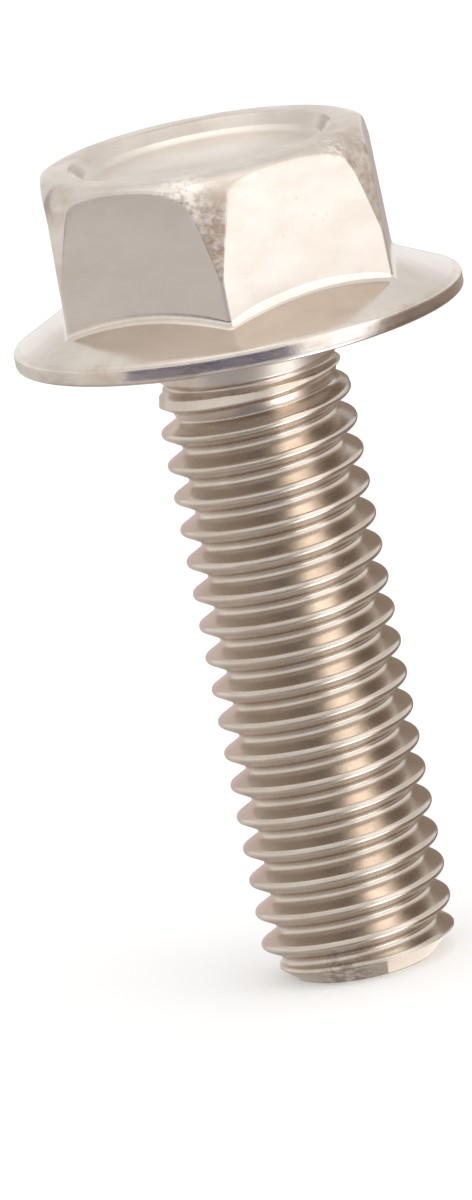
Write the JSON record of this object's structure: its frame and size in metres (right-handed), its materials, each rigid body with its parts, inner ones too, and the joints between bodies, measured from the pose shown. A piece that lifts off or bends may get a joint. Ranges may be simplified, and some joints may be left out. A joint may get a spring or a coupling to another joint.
{
  "type": "flange bolt",
  "caption": "Hexagon flange bolt with an indented, crowned head, a conical round flange and a right-hand metric thread over nearly all of its shank.",
  "frame": {"origin": "centre of the flat end face of the thread, the lowest point of the bolt as it stands on it", "axes": "+Z along the bolt's axis from the thread's end to the head; one corner of the hexagon points 2.1 degrees off -Y, towards -X"},
  "size_m": [0.0136, 0.0136, 0.0256],
  "materials": {
    "bright_steel": "cold-forged steel with a warm, satin nickel-like finish, brighter on the rolled thread"
  },
  "bodies": {
    "root": {"flange_bolt": "bright_steel"}
  },
  "joints": []
}
